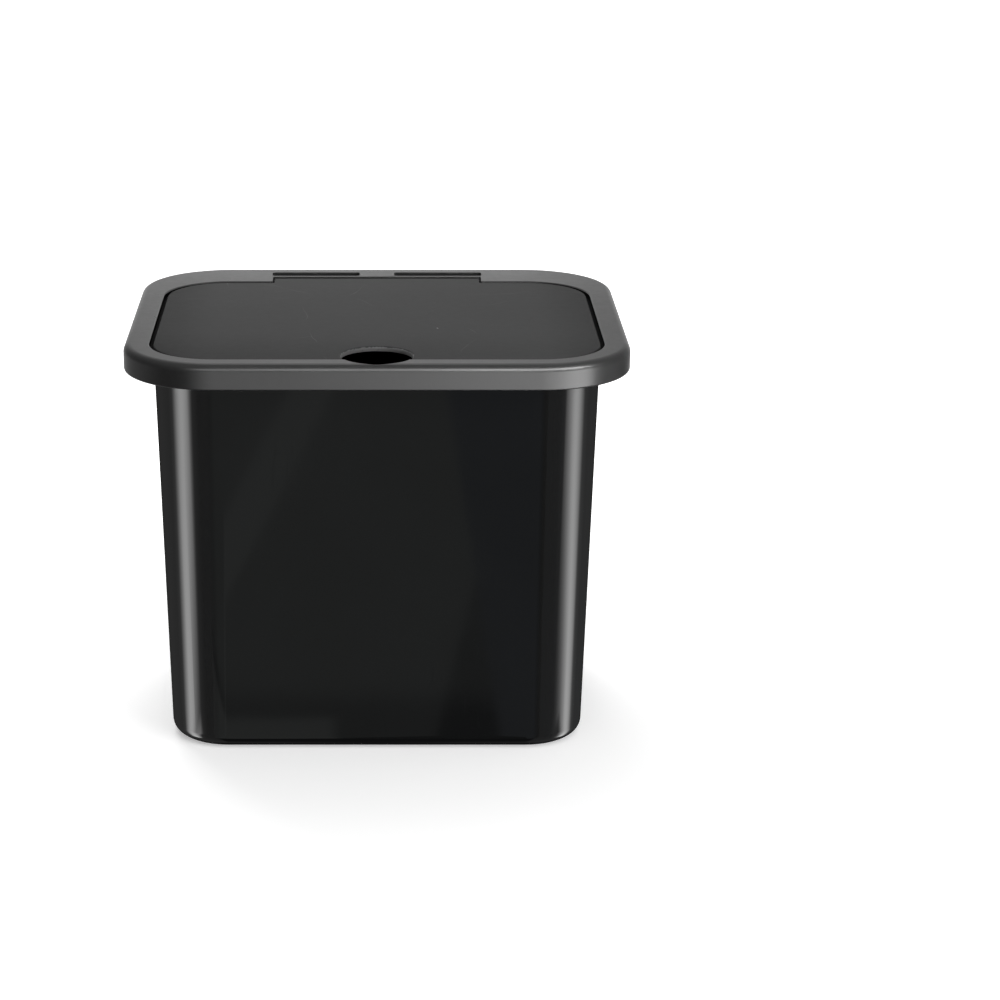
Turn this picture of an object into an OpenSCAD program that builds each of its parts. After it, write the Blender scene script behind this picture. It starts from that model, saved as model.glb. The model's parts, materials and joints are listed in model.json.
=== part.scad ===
// Car trash bin: a tapered bucket, a lid frame that sits on its rim, and a flap
// that is hinged in the frame. Millimetres, front towards -Y, up is +Z.
// The origin is under the middle of the whole part, on the floor.

/* [Overall] */
// Height from the floor to the top face of the lid frame
total_h = 181.5; // [120:0.5:260]

/* [Lid frame] */
// Width of the lid frame
lid_w = 220.5; // [190:0.5:280]
// Depth of the lid frame, front to back
lid_d = 184.5; // [160:0.5:240]
// Radius of its corners, seen from above
lid_corner_r = 40.5; // [32:0.5:50]
// Height of the skirt that hangs round the bucket's rim
skirt_h = 11.3; // [9:0.1:20]
// Rounding between the top face and the skirt
lid_edge_r = 3.5; // [2.5:0.1:5]
// Rounding of the skirt's lower edge
skirt_edge_r = 0.9; // [0.3:0.1:1.2]
// Wall of the frame, in the top face and the skirt
lid_wall = 2; // [1.4:0.1:2.4]
// Width of the rail at each side of the opening
side_rail = 11.3; // [9:0.1:13]
// Width of the rail in front of the opening
front_rail = 10; // [8:0.5:13]
// Thickness of the ledge that the flap rests on
ledge_t = 2.2; // [1.8:0.1:3]
// How far the collar reaches down into the bucket
collar_h = 9.2; // [5:0.1:18]
// Wall of the collar
collar_t = 1.8; // [1.2:0.1:2.4]
// Thickness of the ribs under the rails
frame_rib_t = 1.2; // [0.8:0.1:2]

/* [Flap] */
// Thickness of the flap
flap_t = 2.2; // [1.8:0.1:3]
// How far the flap lies below the top face of the frame
flap_drop = 0.4; // [0.2:0.1:0.8]
// Gap between flap and frame at each side
side_gap = 1.8; // [1:0.1:3]
// Gap between flap and frame in front and behind
end_gap = 0.8; // [0.5:0.1:1.5]
// Rounding of the upper edges along the gap
gap_edge_r = 0.6; // [0.2:0.1:1]
// Height of the ribs under the flap
flap_rib_h = 2; // [1:0.1:6]
// Thickness of the ribs under the flap
flap_rib_t = 1.5; // [0.8:0.1:2.5]

/* [Finger hole] */
// Radius of the finger hole, part in the flap and part in the front rail
finger_r = 15.5; // [11:0.5:20]
// Strip that the hole leaves along the inside of the skirt
finger_lip = 0.4; // [0.3:0.1:2]
// Rounding of the hole's upper edge
finger_edge_r = 1; // [0.4:0.1:1.2]

/* [Hinge] */
// Width of the flap's hinge tongue
tongue_w = 97; // [70:1:112]
// Gap at each end of the tongue
tongue_gap = 1; // [0.5:0.1:2]
// How far the tongue's notch reaches back from the opening
notch_d = 10.1; // [8:0.1:16]
// Gap between the round end of the tongue and the back of the notch
notch_gap = 0.8; // [0.8:0.1:2]
// Gap between the round end of the tongue and the bucket's rim
barrel_gap = 0.4; // [0.3:0.1:0.8]
// Radius of the pins at the two ends of the tongue
pin_r = 1.5; // [1:0.05:1.6]
// Length of each pin
pin_l = 3.8; // [2.5:0.1:8]
// Radial clearance of the pins in their sockets
pin_clear = 0.05; // [0.02:0.01:0.1]

/* [Hook slots] */
// Width of each slot for a headrest hook
slot_w = 41.7; // [30:0.1:48]
// Depth of each slot, front to back
slot_d = 7.2; // [5:0.1:12]
// Width of the bridge between the two slots
slot_bridge = 16.6; // [10:0.1:20]
// Rib between the slots and the notch in front of them
slot_rib = 1.8; // [1.6:0.1:4]
// Rail between the slots and the back of the lid
slot_back = 9.1; // [8:0.1:14]
// Rounding of the slots' corners
slot_corner_r = 1.5; // [0.5:0.1:2.4]

/* [Bucket] */
// How far the lid overhangs the bucket at each side
side_overhang = 12.8; // [10:0.1:16]
// How far the lid overhangs the bucket in front
front_overhang = 12; // [10:0.5:16]
// Radius of the bucket's corners under the rim
body_corner_r = 31; // [26:0.5:36]
// How far each wall leans in from the rim to the foot
taper = 4.9; // [1:0.1:10]
// Wall of the bucket
body_wall = 2; // [1.4:0.1:2.6]
// Thickness of its floor
floor_t = 2.2; // [1.4:0.1:4]
// Rounding at the foot of the walls
base_r = 6.3; // [4:0.1:10]
// Height of the recess under the floor
foot_h = 1.2; // [0.6:0.1:3]
// Width of the ring that the bucket stands on, from the outside
foot_w = 12; // [11:0.5:15]
// Thickness of the rim flange
rim_t = 2; // [1.4:0.1:2.6]
// Height of the gussets under the back of the rim
gusset_h = 22; // [12:0.5:40]
// Thickness of the gussets
gusset_t = 2; // [1.2:0.1:4]

/* [Hidden] */
$fn = 96;
// Overrun of every cut past the face that it opens
cut = 1;
// How deep parts of one moulding run into each other
blend = 0.5;
// Gap all round between the collar and the bucket's mouth
collar_gap = 0.6;
// Gap all round between the rim flange and the skirt
rim_gap = 1.5;
// How far the lip of the rim stays above the lower edge of the skirt
lip_rise = 1.1;
// How much wider the slots are in the rim flange than in the frame
slot_slack = 0.5;
// Wall of the sleeve under each slot
sleeve_t = 1.5;
// Wall between the end of a pin's socket and the outside of its ear
ear_wall = 1.5;
// Free length in the socket past the pin's end
pin_end_gap = 0.5;
// Gap between the flap's ribs and the collar
rib_gap = 2;
// Distance of the rib round the finger hole from the hole
finger_land = 7.5;
// Share of the pin's diameter that the mouth of the socket lets through
socket_mouth_share = 0.72;
// Places of the ribs as shares of the straight stretch of each rail
side_rib_shares = [-0.45, -0.15, 0.15, 0.45];
front_rib_shares = [-0.42, -0.2, 0.2, 0.42];
back_rib_shares = [-0.5, -0.43, 0.43, 0.5];
// Places of the flap's inner ribs as shares of its rib frame
flap_rib_x_shares = [-0.25, 0, 0.25];
flap_rib_y_shares = [-0.17, 0.17];
// Places of the gussets as shares of the bucket's width
gusset_shares = [-0.36, 0, 0.36];

lid_front = -lid_d / 2;
lid_back = lid_d / 2;
rear_rail = notch_d + slot_rib + slot_d + slot_back;
mouth_w = lid_w - 2 * side_rail;
mouth_d = lid_d - front_rail - rear_rail;
mouth_y = (front_rail - rear_rail) / 2;
mouth_r = lid_corner_r - side_rail;
mouth_back = lid_back - rear_rail;
finger_y = lid_front + lid_wall + finger_lip + finger_r;

flap_top = total_h - flap_drop;
ledge_top = flap_top - flap_t;
rim_top = ledge_top - ledge_t;
rib_top = total_h - lid_wall / 2;

rim_w = lid_w - 2 * (lid_wall + rim_gap);
rim_d = lid_d - 2 * (lid_wall + rim_gap);
rim_r = lid_corner_r - lid_wall - rim_gap;
rim_low = rim_top - rim_t;
lip_low = total_h - skirt_h + lip_rise;

body_back = mouth_back + collar_gap + body_wall;
body_w = lid_w - 2 * side_overhang;
body_d = body_back - lid_front - front_overhang;
body_y = body_back - body_d / 2;
floor_z = foot_h + floor_t;

collar_w = body_w - 2 * (body_wall + collar_gap);
collar_d = body_d - 2 * (body_wall + collar_gap);
collar_r = body_corner_r - body_wall - collar_gap;
neck_w = collar_w - 2 * collar_t;
neck_d = collar_d - 2 * collar_t;
neck_r = collar_r - collar_t;

barrel_r = (flap_t + ledge_t - barrel_gap) / 2;
notch_w = tongue_w + 2 * tongue_gap;
hinge_y = mouth_back + notch_d - notch_gap - barrel_r;
hinge_z = flap_top - barrel_r;
socket_r = pin_r + pin_clear;
socket_end = tongue_w / 2 + pin_l + pin_end_gap;

slot_x = (slot_bridge + slot_w) / 2;
slot_y = lid_back - slot_back - slot_d / 2;

// Corner radius of the bucket's outside at height z
function wall_r(z) = body_corner_r - taper * (rim_top - z) / (rim_top - base_r);

// Carries a profile round a rounded rectangle. The profile's x is the distance
// from the axis of the corners, and its y is the height.
module around(w, d, r) {
    x = w / 2 - r;
    y = d / 2 - r;
    corners = [[x, y], [-x, y], [-x, -y], [x, -y]];
    for (i = [0:3]) {
        translate([corners[i][0], corners[i][1], 0])
            rotate([0, 0, 90 * i]) {
                rotate_extrude(angle = 90)
                    children();
                rotate([90, 0, 0])
                    linear_extrude(i % 2 == 0 ? 2 * y : 2 * x)
                        children();
            }
    }
}

// Straight block with rounded corners, seen from above
module block(w, d, r, h) {
    around(w, d, r)
        square([r, h]);
    translate([r - w / 2, r - d / 2, 0])
        cube([w - 2 * r, d - 2 * r, h]);
}

// Block whose upper edge is rounded
module soft_block(w, d, r, h, edge) {
    around(w, d, r)
        soft_corner(r, h, edge);
    translate([r - w / 2, r - d / 2, 0])
        cube([w - 2 * r, d - 2 * r, h]);
}

// Rectangle with its upper outer corner rounded
module soft_corner(w, h, edge) {
    square([w - edge, h]);
    square([w, h - edge]);
    translate([w - edge, h - edge])
        quarter_disc(edge);
}

module quarter_disc(r) {
    intersection() {
        circle(r);
        square(r);
    }
}

// What is cut away where a wall meets the face above it in an edge rounded by r,
// from a little inside the opening that the wall stands round
module edge_cut(r) {
    difference() {
        square([r + blend, r + cut]);
        translate([r + blend, 0])
            circle(r);
    }
}

// What is cut away to round by r the lower edge of a wall, whose outside is at
// the distance w and whose foot is at zero
module lower_edge_cut(w, r) {
    translate([w - r, 0])
        difference() {
            translate([0, -cut])
                square([r + cut, r + cut]);
            translate([0, r])
                circle(r);
        }
}

// Half profile of the bucket, from r_foot at its foot to r_rim at its rim,
// with its foot rounded by edge
module wall_profile(r_foot, z_foot, r_rim, z_rim, edge) {
    polygon([
        [0, z_foot],
        [r_foot - edge, z_foot],
        [r_foot - edge, z_foot + edge],
        [r_foot, z_foot + edge],
        [r_rim, z_rim],
        [0, z_rim]
    ]);
    translate([r_foot - edge, z_foot + edge])
        mirror([0, 1])
            quarter_disc(edge);
}

// Outside of the bucket, or its hollow where inset is the wall
module tapered_block(inset, z_foot, z_rim, edge) {
    r_foot = wall_r(z_foot + edge) - inset;
    r_rim = wall_r(z_rim) - inset;
    translate([0, body_y, 0]) {
        around(body_w, body_d, body_corner_r)
            wall_profile(r_foot, z_foot, r_rim, z_rim, edge);
        translate([body_corner_r - body_w / 2, body_corner_r - body_d / 2, z_foot])
            cube([body_w - 2 * body_corner_r, body_d - 2 * body_corner_r, z_rim - z_foot]);
    }
}

// Flange round the bucket's mouth, with a lip that hangs inside the skirt
module rim_flange() {
    translate([0, 0, rim_low])
        block(rim_w, rim_d, rim_r, rim_t);
    translate([0, 0, lip_low])
        around(rim_w, rim_d, rim_r)
            translate([rim_r - rim_t, 0])
                square([rim_t, rim_top - lip_low]);
}

// Gussets that carry the back of the flange, where the hooks pull
module rim_gussets() {
    root_y = body_back - body_wall / 2;
    lean = taper * gusset_h / (rim_top - base_r);
    reach = rim_d / 2 - rim_t / 2 - root_y;
    for (share = gusset_shares) {
        translate([share * body_w - gusset_t / 2, root_y, 0])
            rotate([90, 0, 90])
                linear_extrude(gusset_t)
                    polygon([
                        [-lean, rim_low - gusset_h],
                        [body_wall / 2, rim_low - gusset_h],
                        [reach, lip_low],
                        [reach, rim_low + blend],
                        [-lean, rim_low + blend]
                    ]);
    }
}

// Shallow recess that leaves a ring for the bucket to stand on
module foot_recess() {
    inset = 2 * (taper + foot_w);
    translate([0, body_y, -cut])
        block(
            body_w - inset, body_d - inset, max(body_corner_r - taper - foot_w, foot_h),
            foot_h + cut
        );
}

module bucket() {
    color("#1c1d1f")
        difference() {
            union() {
                tapered_block(0, 0, rim_top, base_r);
                rim_flange();
                rim_gussets();
            }
            tapered_block(body_wall, floor_z, rim_top + cut, base_r - body_wall);
            foot_recess();
            hook_slots(slot_slack, rim_low - cut, rim_t + 2 * cut);
        }
}

// The two slots for the headrest hooks, grown by the amount given
module hook_slots(grow, z, h) {
    for (side = [-1, 1]) {
        translate([side * slot_x, slot_y, z])
            block(slot_w + 2 * grow, slot_d + 2 * grow, slot_corner_r + grow, h);
    }
}

module finger_hole(r, z, h) {
    translate([0, finger_y, z])
        cylinder(r = r, h = h);
}

// Finger hole through everything from the height low to the face at top, with the
// edge in that face rounded
module soft_finger_hole(low, top) {
    finger_hole(finger_r, low, top - low + cut);
    translate([0, finger_y, top - finger_edge_r])
        rotate_extrude()
            translate([finger_r - blend, 0])
                edge_cut(finger_edge_r);
}

// Top face and skirt of the frame, open underneath
module frame_shell() {
    inset = 2 * lid_wall;
    translate([0, 0, total_h - skirt_h])
        difference() {
            soft_block(lid_w, lid_d, lid_corner_r, skirt_h, lid_edge_r);
            around(lid_w, lid_d, lid_corner_r)
                lower_edge_cut(lid_corner_r, skirt_edge_r);
            translate([0, 0, -cut])
                soft_block(
                    lid_w - inset, lid_d - inset, lid_corner_r - lid_wall,
                    skirt_h - lid_wall + cut, lid_edge_r - lid_wall
                );
        }
}

// Solid stock round the opening, for the step, the ledge and the collar
module seat_stock() {
    translate([0, mouth_y, rim_top])
        block(
            mouth_w + 2 * lid_wall, mouth_d + 2 * lid_wall, mouth_r + lid_wall,
            rib_top - rim_top
        );
    translate([0, body_y, rim_top - collar_h])
        block(collar_w, collar_d, collar_r, collar_h + ledge_t / 2);
}

// Opening for the flap, with its upper edge rounded, down to the ledge
module mouth_cut() {
    translate([0, mouth_y, ledge_top])
        block(mouth_w, mouth_d, mouth_r, total_h - ledge_top + cut);
    translate([0, mouth_y, total_h - gap_edge_r])
        around(mouth_w, mouth_d, mouth_r)
            translate([mouth_r - blend, 0])
                edge_cut(gap_edge_r);
}

// Inside of the collar, which also leaves the ledge
module neck_cut() {
    low = rim_top - collar_h - cut;
    translate([0, body_y, low])
        block(neck_w, neck_d, neck_r, ledge_top + cut - low);
}

// Notch behind the opening for the flap's tongue
module tongue_notch() {
    translate([-notch_w / 2, mouth_back - cut, ledge_top])
        cube([notch_w, notch_d + cut, total_h - ledge_top + cut]);
}

// Ears beside the tongue that hold the hinge pins
module hinge_ears() {
    ear_front = hinge_y - barrel_r - notch_gap;
    ear_back = slot_y - slot_d / 2 - blend;
    ear_w = socket_end + ear_wall - notch_w / 2;
    for (side = [0, 1]) {
        mirror([side, 0, 0])
            translate([notch_w / 2, ear_front, rim_top])
                cube([ear_w, ear_back - ear_front, rib_top - rim_top]);
    }
}

// Sockets for the pins, open underneath so that the pins snap in
module pin_sockets() {
    snap_w = 2 * pin_r * socket_mouth_share;
    depth = socket_end - notch_w / 2 + cut;
    for (side = [0, 1]) {
        mirror([side, 0, 0])
            translate([notch_w / 2 - cut, hinge_y, hinge_z]) {
                rotate([0, 90, 0])
                    cylinder(r = socket_r, h = depth);
                translate([0, -snap_w / 2, rim_top - cut - hinge_z])
                    cube([depth, snap_w, hinge_z - rim_top + cut]);
            }
    }
}

// One rib under the rails, from the bucket's rim up into the top face
module frame_rib(x, y, w, d) {
    translate([x - w / 2, y, rim_top])
        cube([w, d, rib_top - rim_top]);
}

// Ribs from the skirt to the step round the opening
module frame_ribs() {
    step_x = mouth_w / 2 + lid_wall - blend;
    skirt_x = lid_w / 2 - lid_wall + blend;
    for (side = [-1, 1], share = side_rib_shares) {
        frame_rib(
            side * (step_x + skirt_x) / 2, share * (lid_d - 2 * lid_corner_r),
            skirt_x - step_x, frame_rib_t
        );
    }
    skirt_front = lid_front + lid_wall - blend;
    step_front = lid_front + front_rail - lid_wall + blend;
    for (share = front_rib_shares) {
        frame_rib(
            share * (lid_w - 2 * lid_corner_r), skirt_front,
            frame_rib_t, step_front - skirt_front
        );
    }
    step_back = mouth_back + lid_wall - blend;
    skirt_back = lid_back - lid_wall + blend;
    for (share = back_rib_shares) {
        frame_rib(
            share * (lid_w - 2 * lid_corner_r), step_back,
            frame_rib_t, skirt_back - step_back
        );
    }
}

module lid_frame() {
    color("#4a4b4d")
        difference() {
            union() {
                frame_shell();
                seat_stock();
                hook_slots(sleeve_t, rim_top, rib_top - rim_top);
                hinge_ears();
                frame_ribs();
            }
            mouth_cut();
            neck_cut();
            tongue_notch();
            pin_sockets();
            hook_slots(0, rim_top - cut, total_h - rim_top + 2 * cut);
            soft_finger_hole(rim_top - collar_h - cut, total_h);
        }
}

// Side view of the tongue: a flat strip that ends in the round hinge barrel
module tongue_profile() {
    reach = hinge_y - mouth_back + end_gap + flap_t;
    translate([-reach, barrel_r - flap_t])
        square([reach, flap_t]);
    quarter_disc(barrel_r);
    mirror([0, 1])
        quarter_disc(barrel_r);
    mirror([1, 0])
        mirror([0, 1])
            quarter_disc(barrel_r);
}

// Tongue and pins of the hinge
module flap_tongue() {
    translate([-tongue_w / 2, hinge_y, hinge_z])
        rotate([90, 0, 90])
            linear_extrude(tongue_w)
                tongue_profile();
    translate([-tongue_w / 2 - pin_l, hinge_y, hinge_z])
        rotate([0, 90, 0])
            cylinder(r = pin_r, h = tongue_w + 2 * pin_l);
}

// Frame of ribs under the flap that fits inside the collar, and the ribs within it
module flap_ribs() {
    frame_w = neck_w - 2 * rib_gap;
    frame_d = neck_d - 2 * rib_gap;
    frame_r = neck_r - rib_gap;
    rib_h = flap_rib_h + flap_t / 2;
    translate([0, body_y, ledge_top - flap_rib_h]) {
        around(frame_w, frame_d, frame_r)
            translate([frame_r - flap_rib_t, 0])
                square([flap_rib_t, rib_h]);
        for (share = flap_rib_x_shares) {
            translate([share * frame_w - flap_rib_t / 2, blend - frame_d / 2, 0])
                cube([flap_rib_t, frame_d - 2 * blend, rib_h]);
        }
        for (share = flap_rib_y_shares) {
            translate([blend - frame_w / 2, share * frame_d - flap_rib_t / 2, 0])
                cube([frame_w - 2 * blend, flap_rib_t, rib_h]);
        }
    }
}

// Rib round the back of the finger hole, where the flap is lifted
module finger_rib() {
    rib_z = ledge_top - flap_rib_h;
    front = body_y - neck_d / 2 + rib_gap;
    intersection() {
        finger_hole(finger_r + finger_land + flap_rib_t, rib_z, flap_rib_h + flap_t / 2);
        translate([-lid_w / 2, front, rib_z])
            cube([lid_w, lid_d, flap_rib_h + flap_t]);
    }
}

module flap() {
    rib_z = ledge_top - flap_rib_h;
    color("#303133")
        difference() {
            union() {
                difference() {
                    union() {
                        flap_ribs();
                        finger_rib();
                    }
                    finger_hole(finger_r + finger_land, rib_z - cut, flap_rib_h + cut);
                }
                translate([0, mouth_y, ledge_top])
                    soft_block(
                        mouth_w - 2 * side_gap, mouth_d - 2 * end_gap, mouth_r - side_gap,
                        flap_t, gap_edge_r
                    );
                flap_tongue();
            }
            soft_finger_hole(rib_z - cut, flap_top);
        }
}

bucket();
lid_frame();
flap();
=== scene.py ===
import json
import math

import bpy
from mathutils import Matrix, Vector

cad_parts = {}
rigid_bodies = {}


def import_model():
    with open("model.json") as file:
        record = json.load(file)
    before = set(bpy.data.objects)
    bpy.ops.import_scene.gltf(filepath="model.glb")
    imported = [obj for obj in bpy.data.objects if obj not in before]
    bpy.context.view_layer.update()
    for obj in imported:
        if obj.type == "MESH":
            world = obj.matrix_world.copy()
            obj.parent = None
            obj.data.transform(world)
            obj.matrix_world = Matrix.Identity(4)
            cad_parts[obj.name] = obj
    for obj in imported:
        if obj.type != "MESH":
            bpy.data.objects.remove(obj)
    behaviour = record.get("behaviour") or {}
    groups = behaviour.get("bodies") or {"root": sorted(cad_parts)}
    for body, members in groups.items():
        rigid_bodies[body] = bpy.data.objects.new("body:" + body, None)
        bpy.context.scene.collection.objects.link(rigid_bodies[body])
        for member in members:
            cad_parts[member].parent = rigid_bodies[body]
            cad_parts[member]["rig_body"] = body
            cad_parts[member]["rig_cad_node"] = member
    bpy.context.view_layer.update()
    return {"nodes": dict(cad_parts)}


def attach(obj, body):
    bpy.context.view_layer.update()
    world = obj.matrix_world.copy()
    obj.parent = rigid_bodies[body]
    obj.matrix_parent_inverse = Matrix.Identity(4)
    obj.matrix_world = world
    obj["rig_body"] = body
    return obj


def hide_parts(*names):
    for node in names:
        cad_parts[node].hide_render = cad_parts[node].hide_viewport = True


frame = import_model()
print("frame loaded")

mm = 0.001


class Wire:
    # an output socket that can stand in a sum
    def __init__(self, sheet, socket):
        self.sheet, self.socket = sheet, socket

    def __add__(self, other):
        return self.sheet.maths("ADD", self, other)

    def __radd__(self, other):
        return self.sheet.maths("ADD", other, self)

    def __sub__(self, other):
        return self.sheet.maths("SUBTRACT", self, other)

    def __rsub__(self, other):
        return self.sheet.maths("SUBTRACT", other, self)

    def __mul__(self, other):
        return self.sheet.maths("MULTIPLY", self, other)

    def __rmul__(self, other):
        return self.sheet.maths("MULTIPLY", other, self)

    def __truediv__(self, other):
        return self.sheet.maths("DIVIDE", self, other)

    def __gt__(self, other):
        return self.sheet.maths("GREATER_THAN", self, other)

    def __lt__(self, other):
        return self.sheet.maths("LESS_THAN", self, other)

    def out(self, name):
        return Wire(self.sheet, self.socket.node.outputs[name])


class Sheet:
    # the node tree of one material or of the world
    def __init__(self, tree):
        self.tree = tree
        tree.nodes.clear()

    def add(self, kind, settings=None, values=None, out=0):
        node = self.tree.nodes.new(kind)
        for key, value in (settings or {}).items():
            if key == "stops":
                self.fillRamp(node.color_ramp, value)
            else:
                setattr(node, key, value)
        for key, value in (values or {}).items():
            if isinstance(value, Wire):
                self.tree.links.new(value.socket, node.inputs[key])
            else:
                node.inputs[key].default_value = value
        return Wire(self, node.outputs[out]) if len(node.outputs) else None

    def maths(self, operation, *values):
        return self.add("ShaderNodeMath", {"operation": operation}, dict(enumerate(values)))

    def split(self, place):
        x = self.add("ShaderNodeSeparateXYZ", None, {0: place})
        return x, x.out("Y"), x.out("Z")

    def fillRamp(self, ramp, stops):
        while len(ramp.elements) < len(stops):
            ramp.elements.new(0.5)
        for element, (place, shade) in zip(ramp.elements, stops):
            element.position = place
            element.color = (shade, shade, shade, 1)

    def place(self, stretch=(1, 1, 1), turn=(0, 0, 0)):
        coords = self.add("ShaderNodeTexCoord").out("Object")
        return self.add(
            "ShaderNodeMapping", None, {"Vector": coords, "Scale": stretch, "Rotation": turn}
        )

    def noise(self, place, scale, detail=2.0, roughness=0.5):
        return self.add(
            "ShaderNodeTexNoise", {"noise_dimensions": "3D"},
            {"Vector": place, "Scale": scale, "Detail": detail, "Roughness": roughness},
        )

    def fade(self, value, span):
        # black below the span and white above it
        stops = ((span[0], 0.0), (span[1], 1.0))
        return self.add("ShaderNodeValToRGB", {"stops": stops}, {"Fac": value})

    def ease(self, value, start, end, low=0.0, high=1.0):
        return self.add(
            "ShaderNodeMapRange", {"interpolation_type": "SMOOTHSTEP"},
            {"Value": value, "From Min": start, "From Max": end, "To Min": low, "To Max": high},
        )

    def steps(self, value, changes):
        # a level that changes where each change starts and ends, by how much
        return sum(self.ease(value, start, end, 0.0, much) for start, end, much in changes)

    def mixColours(self, mask, dark, light):
        return self.add(
            "ShaderNodeMix", {"data_type": "RGBA"}, {0: mask, 6: dark, 7: light}, out=2
        )

    def bump(self, height, distance, strength=1.0):
        return self.add(
            "ShaderNodeBump", None, {"Height": height, "Distance": distance, "Strength": strength}
        )

    def seen(self):
        # by the camera, itself or in a mirror or through glass
        path = self.add("ShaderNodeLightPath")
        return path + path.out("Is Glossy Ray") + path.out("Is Transmission Ray")

    def finish(self, shader, kind="ShaderNodeOutputMaterial"):
        self.add(kind, None, {"Surface": shader})


def newMaterial(name):
    material = bpy.data.materials.new(name)
    material.use_nodes = True
    return material, Sheet(material.node_tree)


def grey(level, cool=0.0):
    return (level * (1 - cool), level, level * (1 + cool), 1)


glossBlack = {
    "colour": 0.0032,
    "coolness": 0.1,
    "roughness": 0.04,
    "hazeRoughness": 0.02,
    "hazeShade": 1.6,
    "hazeScale": 14.0,
    "hazeFade": (0.42, 0.78),
    "scuffRoughness": 0.08,
    "scuffScale": 700.0,
    "scuffFade": (0.62, 0.72),
    "scuffStretch": (1, 1, 0.05),
    "waveSize": 30 * mm,
    "waveHeight": 0.012 * mm,
}


def makeGlossBlack():
    p = glossBlack
    material, sheet = newMaterial("bucket_gloss")
    place = sheet.place()
    wave = sheet.noise(place, 1 / p["waveSize"], 1.0)
    haze = sheet.fade(sheet.noise(place, p["hazeScale"], 5.0, 0.6), p["hazeFade"])
    strokes = sheet.noise(sheet.place(p["scuffStretch"]), p["scuffScale"])
    scuffs = sheet.fade(strokes, p["scuffFade"]) * haze
    roughness = p["roughness"] + haze * p["hazeRoughness"] + scuffs * p["scuffRoughness"]
    hazed = grey(p["colour"] * p["hazeShade"], p["coolness"])
    colour = sheet.mixColours(haze, grey(p["colour"], p["coolness"]), hazed)
    plastic = sheet.add(
        "ShaderNodeBsdfPrincipled", None,
        {"Base Color": colour, "Roughness": roughness,
         "Normal": sheet.bump(wave, p["waveHeight"])},
    )
    sheet.finish(plastic)
    return material


frameSatin = {
    "colour": 0.03,
    "roughness": 0.3,
    "specular": 0.5,
    "grainSize": 0.5 * mm,
    "grainHeight": 0.01 * mm,
    "dust": 0.15,
    "scratches": 0.35,
}

flapMatt = {
    "colour": 0.032,
    "roughness": 0.65,
    "specular": 0.17,
    "grainSize": 0.6 * mm,
    "grainHeight": 0.02 * mm,
    "dust": 1.0,
    "scratches": 0.6,
    # painted shade towards the flap's front and sides
    "paintedEdgeShade": {"shade": 0.45, "share": 0.5, "sides": (70 * mm, 98 * mm),
              "front": (-78 * mm, -30 * mm)},
    # painted highlight on the rim of the finger hole
    "paintedRimLight": {"colour": 0.2, "holeY": -74.35 * mm, "radius": (15.6 * mm, 15.9 * mm),
             "ragged": 1.2 * mm, "raggedScale": 900.0, "across": (-12 * mm, 12 * mm),
             "leftShare": 0.5},
}

# near-black painted shade for the gap round the flap, the slots and the bare ledge
paintedGapShade = {
    "colour": 0.003,
    "roughness": 0.7,
    "specular": 0.03,
    "grainSize": 0.6 * mm,
    "grainHeight": 0.02 * mm,
    "dust": 0.2,
    "scratches": 0.0,
}

# what the moulded finishes share; a shade is a share of the finish's own colour
mouldGrain = {
    "mottleScale": 260.0,
    "mottleShare": 0.5,
    "mottleShade": 1.35,
    "mottleRoughness": 0.1,
    "patchScale": 24.0,
    "patchFade": (0.3, 0.72),
    "patchShades": (0.9, 1.08),
    "patchRoughness": 0.05,
    "scratchShade": 3.0,
    "scratchRoughness": 0.08,
}
scratchLines = {
    "sets": ((0.4, 8.0), (2.0, 13.0)),  # each set's turn and the scale of its cells
    "warpScale": 20.0,
    "warpShare": 0.03,
    "width": 0.25 * mm,
    "areaScale": 34.0,
    "areaFade": (0.55, 0.68),
}
dustSpecks = {"colour": 0.3, "cells": 70.0, "reach": 0.03, "bareShare": 0.86}


def makeMoulded(name, p):
    # spark-eroded grain, cloudy patches, a few hairline scratches and specks of dust
    q = mouldGrain
    material, sheet = newMaterial(name)
    place = sheet.place()
    grain = sheet.noise(place, 1 / p["grainSize"], 3.0, 0.6)
    mottle = sheet.noise(place, q["mottleScale"], 3.0, 0.6)
    patches = sheet.fade(sheet.noise(place, q["patchScale"], 4.0, 0.55), q["patchFade"])
    scratches = sum(scratchMask(sheet, turn, scale) for turn, scale in scratchLines["sets"])
    specks = dustMask(sheet, place) * p["dust"]
    dark, light = (grey(p["colour"] * shade) for shade in q["patchShades"])
    colour = sheet.mixColours(patches, dark, light)
    spot = grey(p["colour"] * q["mottleShade"])
    colour = sheet.mixColours(mottle * q["mottleShare"], colour, spot)
    scratch = grey(p["colour"] * q["scratchShade"])
    colour = sheet.mixColours(scratches * p["scratches"], colour, scratch)
    colour = sheet.mixColours(specks, colour, grey(dustSpecks["colour"]))
    # painted shade towards the flap's front and sides
    if "paintedEdgeShade" in p:
        paintedEdgeShade = grey(p["colour"] * p["paintedEdgeShade"]["shade"])
        colour = sheet.mixColours(paintedEdgeShadeMask(sheet, place, p["paintedEdgeShade"]), colour, paintedEdgeShade)
    # painted highlight on the rim of the finger hole
    if "paintedRimLight" in p:
        paintedRimLight = grey(p["paintedRimLight"]["colour"])
        colour = sheet.mixColours(paintedRimLightMask(sheet, place, p["paintedRimLight"]), colour, paintedRimLight)
    roughness = p["roughness"] + patches * q["patchRoughness"]
    roughness = roughness + (mottle - 0.5) * q["mottleRoughness"]
    roughness = roughness - scratches * q["scratchRoughness"]
    plastic = sheet.add(
        "ShaderNodeBsdfPrincipled", None,
        {"Base Color": colour, "Roughness": roughness, "Specular IOR Level": p["specular"],
         "Normal": sheet.bump(grain, p["grainHeight"])},
    )
    sheet.finish(plastic)
    return material


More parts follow.
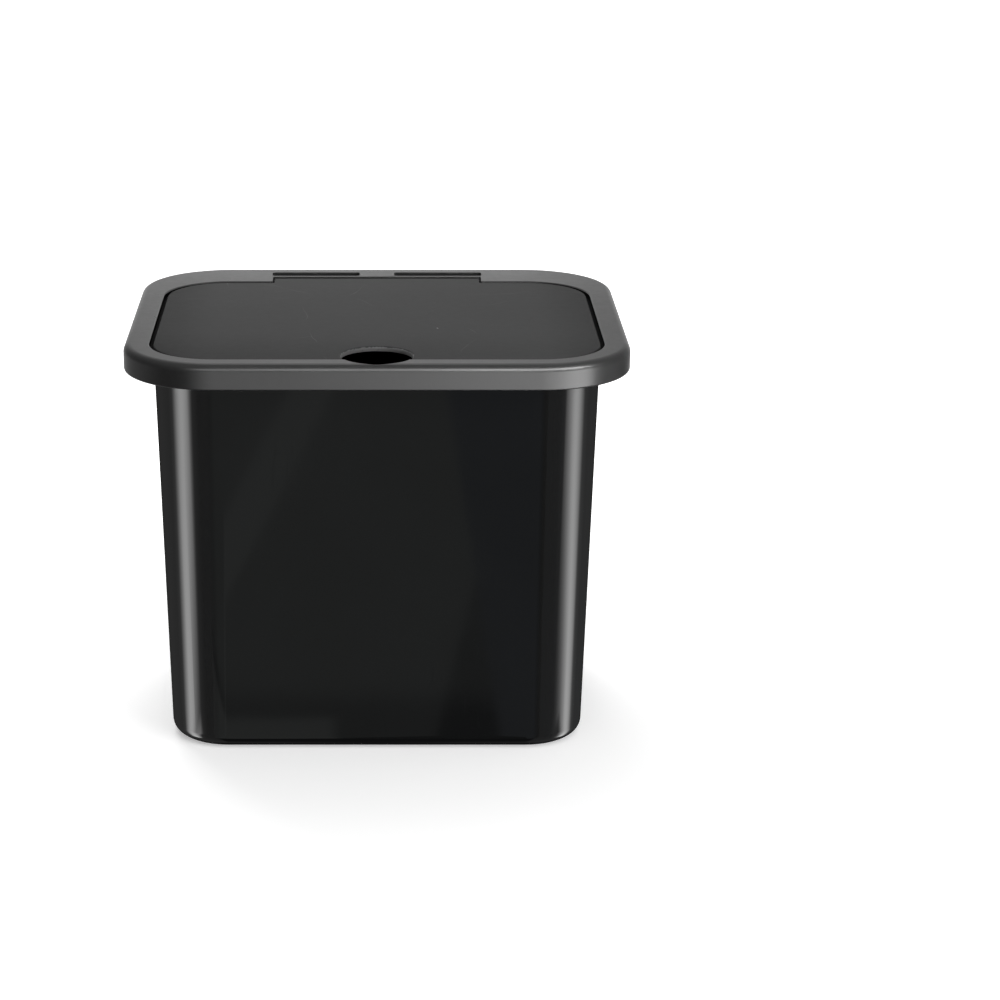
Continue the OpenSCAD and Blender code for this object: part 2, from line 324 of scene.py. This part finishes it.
def scratchMask(sheet, turn, scale):
    # pieces of the thin lines between large warped cells
    p = scratchLines
    place = sheet.place((1, 1, 1), (0, 0, turn))
    warp = sheet.noise(place, p["warpScale"]).out("Color")
    warped = sheet.add(
        "ShaderNodeMix", {"data_type": "VECTOR"}, {0: p["warpShare"], 4: place, 5: warp}, out=1
    )
    line = sheet.add(
        "ShaderNodeTexVoronoi", {"feature": "DISTANCE_TO_EDGE"},
        {"Vector": warped, "Scale": scale},
    )
    area = sheet.fade(sheet.noise(place, p["areaScale"], 1.0), p["areaFade"])
    return sheet.ease(line, 0.0, p["width"] * scale, 1.0, 0.0) * area


def paintedEdgeShadeMask(sheet, place, p):
    # painted shade, darker towards the front and the sides of the flap
    x, y, z = sheet.split(place)
    sides = sheet.ease(sheet.maths("ABSOLUTE", x), *p["sides"], 0.0, p["share"])
    return sides + sheet.ease(y, *p["front"], p["share"], 0.0)


def paintedRimLightMask(sheet, place, p):
    # painted highlight on the rim of the finger hole, brightest at its right
    x, y, z = sheet.split(place)
    y = y - p["holeY"]
    reach = sheet.maths("SQRT", x * x + y * y)
    ragged = reach + (sheet.noise(place, p["raggedScale"]) - 0.5) * p["ragged"]
    rim = sheet.ease(ragged, *p["radius"], 1.0, 0.0)
    return rim * sheet.ease(x, *p["across"], p["leftShare"], 1.0)


def dustMask(sheet, place):
    p = dustSpecks
    cell = sheet.add(
        "ShaderNodeTexVoronoi", {"feature": "F1"}, {"Vector": place, "Scale": p["cells"]}
    )
    lot = sheet.add("ShaderNodeSeparateColor", None, {"Color": cell.out("Color")})
    return (cell < p["reach"]) * (lot > p["bareShare"])


def deselect():
    bpy.ops.object.select_all(action="DESELECT")


def pickOnly(piece):
    deselect()
    piece.select_set(True)
    bpy.context.view_layer.objects.active = piece


# angles in degrees
edges = {
    "merge": 0.004 * mm,
    "flatBelow": 0.3,
    "sharpFrom": 38,
    "smoothBelow": 35,
    "soften": 0.18 * mm,
    "segments": 2,
    "flatWeight": 60,
}


def dressNode(node, name, material):
    # a merged copy of the moulding stands for it, its sharp edges softened and
    # its curves shaded smooth
    p = edges
    piece = frame["nodes"][node].copy()
    piece.data = piece.data.copy()
    piece.name = name
    bpy.context.scene.collection.objects.link(piece)
    piece.parent = None
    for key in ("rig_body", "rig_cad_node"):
        if key in piece:
            del piece[key]
    pickOnly(piece)
    bpy.ops.mesh.customdata_custom_splitnormals_clear()
    bpy.ops.object.mode_set(mode="EDIT")
    bpy.ops.mesh.select_all(action="SELECT")
    bpy.ops.mesh.remove_doubles(threshold=p["merge"])
    bpy.ops.mesh.dissolve_limited(angle_limit=math.radians(p["flatBelow"]))
    bpy.ops.mesh.select_all(action="SELECT")
    bpy.ops.mesh.vert_connect_concave()  # a face with holes softens badly
    bpy.ops.object.mode_set(mode="OBJECT")
    top = max(v.co.z for v in piece.data.vertices)
    soften = piece.modifiers.new("soften", "BEVEL")
    soften.width = p["soften"]
    soften.segments = p["segments"]
    soften.limit_method = "ANGLE"
    soften.angle_limit = math.radians(p["sharpFrom"])
    soften.use_clamp_overlap = False
    soften.miter_outer = "MITER_ARC"
    bpy.ops.object.modifier_apply(modifier="soften")
    for vertex in piece.data.vertices:
        vertex.co.z = min(vertex.co.z, top)  # a softened corner can overshoot
    bpy.ops.object.shade_smooth_by_angle(angle=math.radians(p["smoothBelow"]))
    even = piece.modifiers.new("even", "WEIGHTED_NORMAL")
    even.keep_sharp = True
    even.weight = p["flatWeight"]
    bpy.ops.object.modifier_apply(modifier="even")
    piece.data.materials.clear()
    piece.data.materials.append(material)
    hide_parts(node)
    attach(piece, node)
    return piece


# in mm; below each top lies what gets painted shade
opening = {"middle": -9.1, "half": (99.1, 73.3), "corner": 29.35, "top": 180.95}
slots = {"low": (-50.1, 75.8), "high": (50.1, 83.3), "top": 181.2}
ledge = {"top": 178.9, "bare": 97.1, "near": 0.05}  # bare from where the flap's side ends


def inOpening(point):
    x, y = abs(point.x), abs(point.y - opening["middle"])
    out = [max(v - h + opening["corner"], 0) for v, h in zip((x, y), opening["half"])]
    return math.hypot(*out) <= opening["corner"] and point.z < opening["top"]


def inSlots(point):
    x, y = (slots["low"][i] <= point[i] <= slots["high"][i] for i in (0, 1))
    return x and y and point.z < slots["top"]


def onBareLedge(point):
    near = ledge["near"]
    return abs(point.z - ledge["top"]) < near and abs(point.x) > ledge["bare"] - near


def splitLedge(piece):
    # an edge along each side of the ledge, under the side of the flap
    pickOnly(piece)
    for side in (-1, 1):
        bpy.ops.object.mode_set(mode="EDIT")
        bpy.ops.mesh.select_all(action="DESELECT")
        bpy.ops.object.mode_set(mode="OBJECT")
        for face in piece.data.polygons:
            away = abs(face.center.z / mm - ledge["top"])
            face.select = away < ledge["near"] and face.normal.z > 0.9
        bpy.ops.object.mode_set(mode="EDIT")
        bpy.ops.mesh.bisect(plane_co=(side * ledge["bare"] * mm, 0, 0), plane_no=(1, 0, 0))
        bpy.ops.object.mode_set(mode="OBJECT")


def paintGapShade(piece, material):
    # painted shade, near black, on what shows in the gap round the flap and in the slots
    splitLedge(piece)
    piece.data.materials.append(material)
    points = [v.co / mm for v in piece.data.vertices]
    for face in piece.data.polygons:
        corners = [points[v] for v in face.vertices]
        if any(all(map(test, corners)) for test in (inOpening, inSlots, onBareLedge)):
            face.material_index = 1


bucket = dressNode("bucket", "bucket_shell", makeGlossBlack())
frameMoulding = dressNode("lid_frame", "frame_moulding", makeMoulded("frame_satin", frameSatin))
# painted shade in the gap round the flap and in the slots
paintGapShade(frameMoulding, makeMoulded("frame_painted_gap_shade", paintedGapShade))
flapMoulding = dressNode("flap", "flap_moulding", makeMoulded("flap_matt", flapMatt))
print("mouldings dressed")


floor = {"size": 8.0, "colour": 0.9, "nearGlow": 0.4, "farGlow": 1.0, "from": 0.12, "to": 0.42}


def onlyFor(thing, *rays):
    # what the thing shows itself to
    thing.visible_camera = "camera" in rays
    thing.visible_diffuse = "diffuse" in rays
    thing.visible_glossy = "glossy" in rays
    thing.visible_transmission = "transmission" in rays
    thing.visible_shadow = "shadow" in rays


def makeFloor():
    p = floor
    deselect()
    bpy.ops.mesh.primitive_plane_add(size=p["size"], location=(0, 0, 0))
    plane = bpy.context.object
    plane.name = "studio_floor"
    material, sheet = newMaterial("studio_paper")
    x, y, z = sheet.split(sheet.place())
    distance = sheet.maths("SQRT", x * x + y * y)
    glow = sheet.ease(distance, p["from"], p["to"], p["nearGlow"], p["farGlow"])
    seen = sheet.seen()
    paper = sheet.add(
        "ShaderNodeBsdfPrincipled", None,
        {"Base Color": grey(p["colour"]), "Roughness": 0.9, "Specular IOR Level": 0.1,
         "Emission Color": seen * glow, "Emission Strength": 1.0},
    )
    sheet.finish(paper)
    plane.data.materials.append(material)
    onlyFor(plane, "camera", "transmission", "shadow")


lamps = {
    "ambient": 0.15,
    "sky": {"place": (0.4, -0.5, 2.2), "aim": (0, 0, 0), "size": (3, 3), "power": 27},
    "rear": {"place": (-0.12, 0.34, 0.44), "aim": (0, 0, 0.18), "size": (0.4, 0.2), "power": 1.8},
    "key": {"place": (2.0, -1.6, 0.8), "aim": (0, 0, 0.15), "size": (2.0, 1.4), "power": 46},
    "fill": {"place": (-0.6, 2.4, 0.9), "aim": (0, 0, 0.1), "size": (1.6, 1.2), "power": 16},
}


def makeWorld():
    world = bpy.data.worlds.new("studio")
    bpy.context.scene.world = world
    world.use_nodes = True
    sheet = Sheet(world.node_tree)
    strength = sheet.ease(sheet.seen(), 0.0, 1.0, lamps["ambient"], 1.0)
    light = sheet.add("ShaderNodeBackground", None, {"Color": (1, 1, 1, 1), "Strength": strength})
    sheet.finish(light, "ShaderNodeOutputWorld")


def makeLamp(name):
    p = lamps[name]
    data = bpy.data.lights.new(name + "_box", "AREA")
    data.shape = "RECTANGLE"
    data.size, data.size_y = p["size"]
    data.energy = p["power"]
    lamp = bpy.data.objects.new(name + "_box", data)
    bpy.context.scene.collection.objects.link(lamp)
    lamp.location = p["place"]
    aim = Vector(p["aim"]) - Vector(p["place"])
    lamp.rotation_euler = aim.to_track_quat("-Z", "Y").to_euler()
    lamp.visible_camera = False
    lamp.visible_glossy = False  # the tents stand for its mirror image


tents = {
    "segments": 48,
    "rings": 24,
    "lowFade": (-4, 0),
    "ceilingFade": (20, 60),
    "gloss": {
        "radius": 20.0, "clear": False, "front": 0.06, "wall": 0.14, "ceiling": 0.03,
        "left": ((19, 29.5, 0.19), (95, 165, -0.21)),
        "right": ((19, 29.5, 0.19), (95, 165, -0.21)),
    },
    "lid": {
        "radius": 19.0, "clear": True, "front": 0.03, "wall": 0.14, "ceiling": 0.3,
        "left": ((60, 95, 0.3), (150, 175, -0.29)),
        "right": ((60, 95, 0.34), (102, 132, -0.33)),
    },
}


def makeTent(name, receivers):
    # dim cloth all round the set, for the reflections only; each step of its lower
    # part has the angles from the front where it starts and ends, and how much
    p, q = tents, tents[name]
    deselect()
    bpy.ops.mesh.primitive_uv_sphere_add(
        segments=p["segments"], ring_count=p["rings"], radius=q["radius"]
    )
    dome = bpy.context.object
    dome.name = name + "_tent"
    material, sheet = newMaterial(name + "_cloth")
    x, y, z = sheet.split(sheet.place())
    azimuth = sheet.maths("ARCTAN2", x, 0 - y) * math.degrees(1)
    height = sheet.maths("ARCSINE", z / q["radius"]) * math.degrees(1)
    low = q["front"] + sheet.steps(azimuth, q["right"]) + sheet.steps(0 - azimuth, q["left"])
    high = sheet.ease(height, *p["ceilingFade"], q["wall"], q["ceiling"])
    cloth = low + (high - low) * sheet.ease(height, *p["lowFade"])
    addGlow(dome, material, sheet, cloth, receivers, clear=q["clear"])


# rise is from which x, and how steeply, the steps up the card climb
cards = {
    "low": {
        "y": -0.45, "x": (-0.45, 1.4), "z": (-0.5, 0.2), "strength": 8.3, "rise": (0.0, 0.0),
        "across": ((-0.34, -0.08, 0.19), (-0.02, 0.12, 0.35), (0.15, 0.5, 0.5), (0.7, 1.35, -1.0)),
        "up": ((-0.5, -0.3, 1.0), (0.15, 0.2, -0.3)),
    },
    "high": {
        "y": -0.125, "x": (-0.12, 0.22), "z": (0.184, 0.25), "strength": 15.5,
        "rise": (0.065, 0.24),
        "across": ((-0.107, -0.083, 0.24), (-0.075, -0.02, 0.15), (0.0, 0.062, 0.46),
                   (0.08, 0.122, 1.0), (0.14, 0.21, -1.85)),
        "up": ((0.1864, 0.1936, 1.0), (0.2, 0.218, -1.0)),
    },
    "back": {
        "y": 0.2, "x": (-0.4, 0.4), "z": (0.0, 1.0), "strength": 1.15, "rise": (0.0, 0.0),
        "across": ((-0.3, -0.06, 1.0), (0.05, 0.14, -0.4), (0.14, 0.36, -0.6)),
        "up": ((0.0, 0.05, 1.0), (0.19, 0.22, -0.62), (0.32, 0.5, 0.48), (0.7, 0.98, -0.9)),
    },
}


def standCard(name, p):
    # upright plane that faces the front
    deselect()
    bpy.ops.mesh.primitive_plane_add(size=1, rotation=(math.radians(90), 0, 0))
    card = bpy.context.object
    card.name = name
    card.scale = (p["x"][1] - p["x"][0], p["z"][1] - p["z"][0], 1)
    card.location = (sum(p["x"]) / 2, p["y"], sum(p["z"]) / 2)
    bpy.ops.object.transform_apply(location=True, rotation=True, scale=True)
    return card


def makeCard(name, receivers):
    # glowing card near the lid; each step is where a change starts, ends, how much
    p = cards[name]
    card = standCard(name + "_card", p)
    material, sheet = newMaterial(name + "_card_glow")
    x, y, z = sheet.split(sheet.place())
    start, slope = p["rise"]
    climb = sheet.maths("MAXIMUM", x - start, 0.0) * slope
    level = sheet.steps(x, p["across"]) * sheet.steps(z - climb, p["up"]) * p["strength"]
    addGlow(card, material, sheet, level, receivers)


def addGlow(card, material, sheet, colour, receivers, clear=True):
    # only the receivers mirror the light; a clear card adds it to what lies behind
    glow = sheet.add("ShaderNodeEmission", None, {"Color": colour, "Strength": 1.0})
    if clear:
        glass = sheet.add("ShaderNodeBsdfTransparent")
        glow = sheet.add("ShaderNodeAddShader", None, {0: glass, 1: glow})
    sheet.finish(glow)
    material.cycles.emission_sampling = "NONE"
    card.data.materials.append(material)
    onlyFor(card, "glossy")
    card.light_linking.receiver_collection = receivers


strips = {
    "distance": 1.2,
    "width": 2.2,
    "low": -1.6,
    "high": 0.0,
    "pivot": 0.41,
    "core": 0.48,
    "tail": 0.8,
    "tailShare": 0.08,
    "left": {"azimuth": -75.6, "strength": 4.9, "lean": -0.37},
    "right": {"azimuth": 84.5, "strength": 4.6, "lean": 0.5},
}


def makeStrip(side, receivers):
    # tall strip light that fades to both sides, mirrored by the gloss only
    p, q = strips, strips[side]
    deselect()
    angle = math.radians(q["azimuth"])
    ahead = Vector((math.sin(angle), -math.cos(angle), 0))
    bpy.ops.mesh.primitive_plane_add(size=1)
    card = bpy.context.object
    card.name = "strip_" + side
    bpy.ops.transform.resize(value=(p["width"], p["high"] - p["low"], 1))
    bpy.ops.object.transform_apply(location=False, rotation=False, scale=True)
    card.location = ahead * p["distance"] + Vector((0, 0, (p["low"] + p["high"]) / 2))
    card.rotation_euler = (math.radians(90), 0, angle)
    material, sheet = newMaterial("strip_" + side + "_glow")
    x, y, z = sheet.split(sheet.place())
    off = sheet.maths("ABSOLUTE", x + (y - p["pivot"]) * q["lean"])
    core = sheet.ease(off, 0.0, p["core"], q["strength"], 0.0)
    tail = sheet.ease(off, 0.0, p["tail"], q["strength"] * p["tailShare"], 0.0)
    addGlow(card, material, sheet, core + tail, receivers)


# a lean is how far x goes to the left for each length up
room = {
    "y": -1.15,
    "x": (-0.7, 0.7),
    "z": (-1.2, 0.1),
    "wide": ((-0.65, -0.4, 0.23), (0.4, 0.65, -0.23)),
    "border": {"lean": 0.153, "fade": (0.029, 0.031), "change": -0.07},
    "band": {"lean": -0.5, "steps": ((0.021, 0.023, 0.09), (0.059, 0.061, -0.09))},
    "wedge": {"lean": -0.222, "steps": ((0.163, 0.166, -0.1),)},
    "foot": {"fade": (-0.487, -0.455), "change": -0.09},
    "ledge": {"fade": (-0.494, -0.49), "change": 0.16, "end": (-0.045, -0.03)},
    "warm": (0.96, 1.0, 0.97, 1),
    "cool": (0.93, 1.0, 1.1, 1),
}


def makeRoom(receivers):
    # faint shapes that the flat front mirrors: a slanting band, a darker part at the
    # right with a wedge at its foot, and a low ledge at the left
    p = room
    card = standCard("room_card", p)
    material, sheet = newMaterial("room_card_glow")
    x, y, z = sheet.split(sheet.place())
    right = sheet.ease(x + z * p["border"]["lean"], *p["border"]["fade"])
    left = 1 - right
    level = sheet.steps(x, p["wide"]) + right * p["border"]["change"]
    for shape in (p["band"], p["wedge"]):
        level = level + sheet.steps(x + z * shape["lean"], shape["steps"]) * left
    level = level + sheet.ease(z, *p["foot"]["fade"], p["foot"]["change"], 0.0) * left
    low = sheet.ease(z, *p["ledge"]["fade"], p["ledge"]["change"], 0.0)
    level = level + low * sheet.ease(x, *p["ledge"]["end"], 1.0, 0.0)
    tint = sheet.mixColours(right, p["warm"], p["cool"])
    colour = sheet.add("ShaderNodeVectorMath", {"operation": "MULTIPLY"}, {0: tint, 1: level})
    addGlow(card, material, sheet, colour, receivers)


def receiving(name, *pieces):
    group = bpy.data.collections.new(name)
    for piece in pieces:
        group.objects.link(piece)
    return group


makeFloor()
makeWorld()
for name in ("sky", "rear", "key", "fill"):
    makeLamp(name)
lidPieces = receiving("mirrors_the_cards", frameMoulding, flapMoulding)
makeTent("lid", lidPieces)
for name in cards:
    makeCard(name, lidPieces)
glossPieces = receiving("mirrors_the_strips", bucket)
makeTent("gloss", glossPieces)
makeRoom(glossPieces)
makeStrip("left", glossPieces)
makeStrip("right", glossPieces)
print("studio lit")


view = {
    "lens": 100.52,
    "place": (0, -1.23125, 0.4805),
    "pitch": 17.63,
    "shiftX": 0.1231,
    "shiftY": 0.0076,
}


def makeCamera():
    p = view
    data = bpy.data.cameras.new("camera")
    data.lens = p["lens"]
    data.sensor_width = 36
    data.shift_x, data.shift_y = p["shiftX"], p["shiftY"]
    data.clip_start, data.clip_end = 0.05, 50
    camera = bpy.data.objects.new("camera", data)
    bpy.context.scene.collection.objects.link(camera)
    camera.location = p["place"]
    camera.rotation_euler = (math.radians(90 - p["pitch"]), 0, 0)
    bpy.context.scene.camera = camera


makeCamera()
bpy.context.scene.view_settings.view_transform = "Standard"
print("camera placed")
